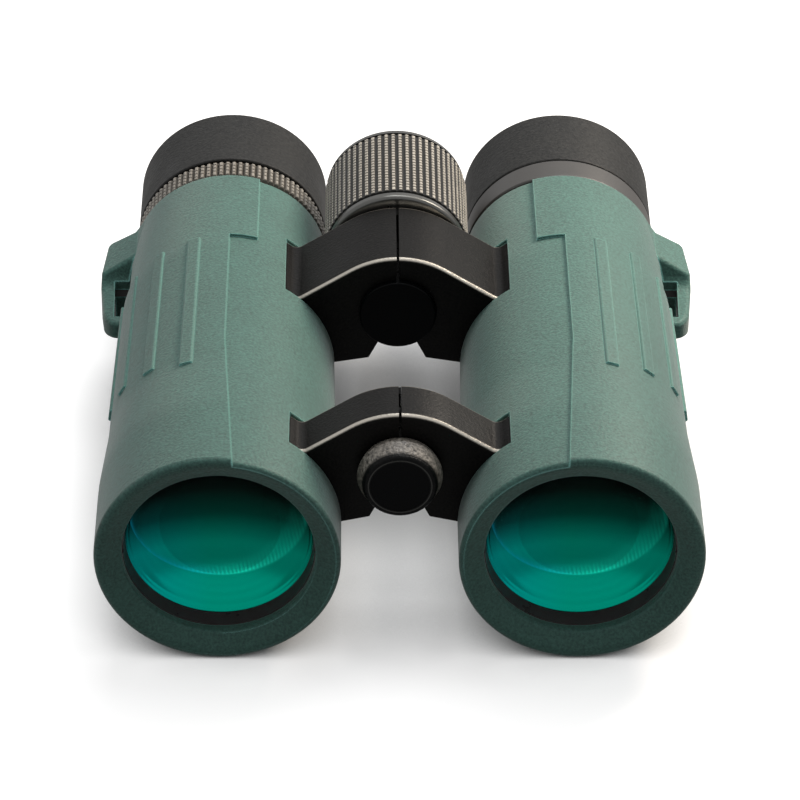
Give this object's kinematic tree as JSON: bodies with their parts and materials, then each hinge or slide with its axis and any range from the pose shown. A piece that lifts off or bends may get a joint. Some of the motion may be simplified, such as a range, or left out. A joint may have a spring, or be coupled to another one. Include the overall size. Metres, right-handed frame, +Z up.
{
  "type": "binoculars",
  "caption": "Open-bridge roof-prism binoculars in green rubber armour, with a folding hinge, focus wheel, diopter ring, twist-up eyecups, strap lugs and a capped tripod socket.",
  "frame": {"origin": "centre of the bounding box at its bottom, on the ground the barrels lie on", "axes": "objectives face -Y, eyepieces +Y; +Z is up; the user's right barrel is on -X"},
  "size_m": [0.1392, 0.149, 0.0578],
  "materials": {
    "armour_rubber": "green textured rubber",
    "bridge_alloy": "black satin paint on a light alloy casting",
    "lug_steel": "plain",
    "objective_glass": "green anti-reflection coating",
    "inner_glass": "clear",
    "prism_glass": "clear",
    "eye_glass": "green anti-reflection coating",
    "cell_alloy": "matt black",
    "ring_alloy": "black anodised",
    "seal_rubber": "plain",
    "spring_steel": "ground",
    "eyepiece_alloy": "black anodised",
    "guide_plastic": "moulded",
    "eyecup_rubber": "smooth matt",
    "diopter_ring": "knurled, black",
    "trim_ring": "smooth matt",
    "hinge_steel": "turned",
    "hub_plug": "black satin paint",
    "washer_plastic": "plain",
    "socket_brass": "turned",
    "cap_plastic": "grained",
    "cap_disc": "bare",
    "wheel_alloy": "black satin",
    "wheel_grip": "knurled",
    "wheel_cap": "plain"
  },
  "bodies": {
    "right_half": {"right_barrel_casting": "bridge_alloy", "right_rubber_armour": "armour_rubber", "right_strap_lug": "lug_steel", "right_objective_front_lens": "objective_glass", "right_objective_rear_lens": "inner_glass", "right_objective_cell": "cell_alloy", "right_objective_retaining_ring": "ring_alloy", "right_objective_seal": "seal_rubber", "right_guide_rods": "spring_steel", "right_prism_cage": "cell_alloy", "right_half_penta_prism": "prism_glass", "right_roof_prism": "prism_glass", "right_prism_clamp": "spring_steel", "right_eyepiece_tube": "eyepiece_alloy", "hinge_tube": "hinge_steel", "hinge_plug": "hub_plug", "hinge_washers": "washer_plastic", "tripod_socket": "socket_brass", "front_hinge_nut": "hinge_steel"},
    "left_half": {"left_barrel_casting": "bridge_alloy", "left_rubber_armour": "armour_rubber", "left_strap_lug": "lug_steel", "left_objective_front_lens": "objective_glass", "left_objective_rear_lens": "inner_glass", "left_objective_cell": "cell_alloy", "left_objective_retaining_ring": "ring_alloy", "left_objective_seal": "seal_rubber", "left_guide_rods": "spring_steel", "left_prism_cage": "cell_alloy", "left_half_penta_prism": "prism_glass", "left_roof_prism": "prism_glass", "left_prism_clamp": "spring_steel", "left_eyepiece_tube": "eyepiece_alloy", "left_ocular_cell": "cell_alloy", "left_field_lens": "inner_glass", "left_eye_lens": "eye_glass", "left_ocular_retaining_ring": "ring_alloy", "left_trim_ring": "trim_ring"},
    "right_ocular": {"right_ocular_cell": "cell_alloy", "right_field_lens": "inner_glass", "right_eye_lens": "eye_glass", "right_ocular_retaining_ring": "ring_alloy"},
    "right_diopter_ring": {"right_diopter_ring": "diopter_ring"},
    "focus_wheel": {"focus_wheel_core": "wheel_alloy", "focus_wheel_grip": "wheel_grip", "focus_wheel_cap": "wheel_cap", "focus_spindle": "hinge_steel"},
    "focus_traveller": {"focus_traveller": "socket_brass"},
    "tripod_cap": {"tripod_cap": "cap_plastic", "tripod_cap_disc": "cap_disc"},
    "right_focus_carriage": {"right_focus_carriage": "cell_alloy", "right_focus_lens": "inner_glass"},
    "right_eyecup_guide": {"right_eyecup_guide_ring": "guide_plastic"},
    "right_eyecup": {"right_eyecup_sleeve": "guide_plastic", "right_eyecup_rubber": "eyecup_rubber"},
    "left_focus_carriage": {"left_focus_carriage": "cell_alloy", "left_focus_lens": "inner_glass"},
    "left_eyecup_guide": {"left_eyecup_guide_ring": "guide_plastic"},
    "left_eyecup": {"left_eyecup_sleeve": "guide_plastic", "left_eyecup_rubber": "eyecup_rubber"}
  },
  "joints": [
    {"name": "interpupillary_hinge", "type": "hinge", "parent": "right_half", "child": "left_half", "pos_m": [0, -0.02448, 0.04095], "axis": [0, 1, 0], "range_deg": [0, 52.5]},
    {"name": "focus_wheel_turn", "type": "hinge", "parent": "right_half", "child": "focus_wheel", "pos_m": [0, 0.03852, 0.04095], "axis": [0, 1, 0], "range_deg": [-270, 270]},
    {"name": "focus_traveller_slide", "type": "slide", "parent": "right_half", "child": "focus_traveller", "axis": [0, 1, 0], "range_m": [-0.0015, 0.0015]},
    {"name": "right_focus_slide", "type": "slide", "parent": "right_half", "child": "right_focus_carriage", "axis": [0, 1, 0], "range_m": [-0.0015, 0.0015]},
    {"name": "left_focus_slide", "type": "slide", "parent": "left_half", "child": "left_focus_carriage", "axis": [0, 1, 0], "range_m": [-0.0015, 0.0015]},
    {"name": "diopter_turn", "type": "hinge", "parent": "right_half", "child": "right_diopter_ring", "pos_m": [-0.0392, 0.04933, 0.02695], "axis": [0, 1, 0], "range_deg": [-40, 40]},
    {"name": "right_ocular_slide", "type": "slide", "parent": "right_half", "child": "right_ocular", "axis": [0, 1, 0], "range_m": [-0.0008, 0.0008]},
    {"name": "tripod_cap_pull", "type": "slide", "parent": "right_half", "child": "tripod_cap", "axis": [0, -1, 0], "range_m": [0, 0.03]},
    {"name": "right_eyecup_slide", "type": "slide", "parent": "right_half", "child": "right_eyecup_guide", "axis": [0, 1, 0], "range_m": [0, 0.009]},
    {"name": "right_eyecup_twist", "type": "hinge", "parent": "right_eyecup_guide", "child": "right_eyecup", "pos_m": [-0.0392, 0.06352, 0.02695], "axis": [0, 1, 0], "range_deg": [0, 100]},
    {"name": "left_eyecup_slide", "type": "slide", "parent": "left_half", "child": "left_eyecup_guide", "axis": [0, 1, 0], "range_m": [0, 0.009]},
    {"name": "left_eyecup_twist", "type": "hinge", "parent": "left_eyecup_guide", "child": "left_eyecup", "pos_m": [0.0392, 0.06352, 0.02695], "axis": [0, 1, 0], "range_deg": [0, 100]}
  ],
  "couplings": [
    {"joint": "focus_traveller_slide", "follows": "focus_wheel_turn", "m_per_rad": 0.000318},
    {"joint": "right_focus_slide", "follows": "focus_wheel_turn", "m_per_rad": 0.000318},
    {"joint": "left_focus_slide", "follows": "focus_wheel_turn", "m_per_rad": 0.000318},
    {"joint": "right_ocular_slide", "follows": "diopter_turn", "m_per_rad": 0.001145},
    {"joint": "right_eyecup_slide", "follows": "right_eyecup_twist", "m_per_rad": 0.005156},
    {"joint": "left_eyecup_slide", "follows": "left_eyecup_twist", "m_per_rad": 0.005156}
  ]
}
